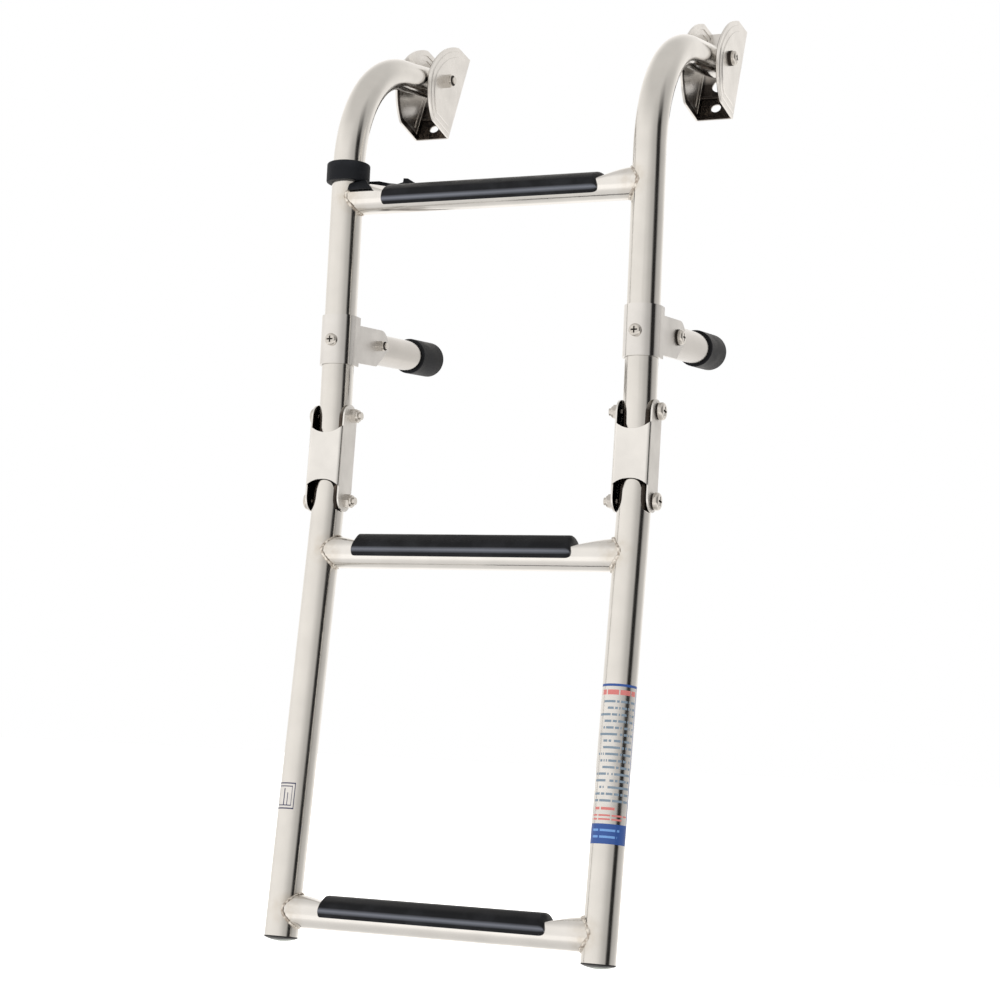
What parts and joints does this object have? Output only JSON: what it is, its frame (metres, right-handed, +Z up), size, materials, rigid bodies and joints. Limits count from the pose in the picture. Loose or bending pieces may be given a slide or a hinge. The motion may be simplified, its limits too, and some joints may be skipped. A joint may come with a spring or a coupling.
{
  "type": "boat boarding ladder",
  "caption": "Folding boarding ladder for a boat: stainless tube frame with bent arms to hull brackets, rubber treads, folding hinges and swivelling stand-offs.",
  "frame": {"origin": "middle of the line through the two bracket bolts", "axes": "+Z up along the upper stiles, +Y towards the hull, +X to the right of a climber facing the hull"},
  "size_m": [0.301, 0.2495, 0.7605],
  "materials": {
    "polished_stainless": "polished",
    "satin_stainless": "satin",
    "fastener_steel": "polished",
    "black_rubber": "semi-matte",
    "black_plastic": "satin",
    "label_film": "gloss"
  },
  "bodies": {
    "upper_section": {"upper_stile_left": "polished_stainless", "upper_stile_right": "polished_stainless", "clamp_left": "satin_stainless", "clamp_right": "satin_stainless", "clamp_screw_left": "fastener_steel", "clamp_screw_right": "fastener_steel", "standoff_bolt_left": "fastener_steel", "standoff_bolt_right": "fastener_steel", "standoff_washer_left": "black_plastic", "standoff_washer_right": "black_plastic", "standoff_nut_left": "fastener_steel", "standoff_nut_right": "fastener_steel", "rung_upper": "polished_stainless", "tread_upper": "black_rubber", "retaining_strap": "black_rubber"},
    "hinge_channels": {"hinge_channel_left": "satin_stainless", "hinge_channel_right": "satin_stainless", "hinge_bolt_upper_left": "fastener_steel", "hinge_bolt_upper_right": "fastener_steel", "hinge_washer_upper_left": "black_plastic", "hinge_washer_upper_right": "black_plastic", "hinge_nut_upper_left": "fastener_steel", "hinge_nut_upper_right": "fastener_steel", "hinge_bolt_lower_left": "fastener_steel", "hinge_bolt_lower_right": "fastener_steel", "hinge_washer_lower_left": "black_plastic", "hinge_washer_lower_right": "black_plastic", "hinge_nut_lower_left": "fastener_steel", "hinge_nut_lower_right": "fastener_steel"},
    "lower_section": {"lower_stile_left": "polished_stainless", "lower_stile_right": "polished_stainless", "foot_plug_left": "black_plastic", "foot_plug_right": "black_plastic", "rung_middle": "polished_stainless", "tread_middle": "black_rubber", "rung_bottom": "polished_stainless", "tread_bottom": "black_rubber", "label_left": "label_film", "label_right": "label_film"},
    "left_bracket": {"bracket_left": "satin_stainless", "pivot_bolt_left": "fastener_steel", "pivot_washer_left": "black_plastic", "pivot_nut_left": "fastener_steel"},
    "left_standoff": {"standoff_tube_left": "polished_stainless", "standoff_cap_left": "black_rubber"},
    "right_bracket": {"bracket_right": "satin_stainless", "pivot_bolt_right": "fastener_steel", "pivot_washer_right": "black_plastic", "pivot_nut_right": "fastener_steel"},
    "right_standoff": {"standoff_tube_right": "polished_stainless", "standoff_cap_right": "black_rubber"}
  },
  "joints": [
    {"name": "left_bracket_pivot", "type": "hinge", "parent": "upper_section", "child": "left_bracket", "pos_m": [-0.127, 0, 0], "axis": [1, 0, 0], "range_deg": [-56, 118]},
    {"name": "left_standoff_pivot", "type": "hinge", "parent": "upper_section", "child": "left_standoff", "pos_m": [-0.127, -0.10005, -0.25087], "axis": [1, 0, 0], "range_deg": [-95, 84]},
    {"name": "right_bracket_pivot", "type": "hinge", "parent": "upper_section", "child": "right_bracket", "pos_m": [0.127, 0, 0], "axis": [1, 0, 0], "range_deg": [-56, 118]},
    {"name": "right_standoff_pivot", "type": "hinge", "parent": "upper_section", "child": "right_standoff", "pos_m": [0.127, -0.10005, -0.25087], "axis": [1, 0, 0], "range_deg": [-95, 84]},
    {"name": "fold_upper", "type": "hinge", "parent": "upper_section", "child": "hinge_channels", "pos_m": [0, -0.14006, -0.31432], "axis": [-1, 0, 0], "range_deg": [-3, 87]},
    {"name": "fold_lower", "type": "hinge", "parent": "hinge_channels", "child": "lower_section", "pos_m": [0, -0.14362, -0.38223], "axis": [-1, 0, 0], "range_deg": [-3.7, 87]}
  ]
}
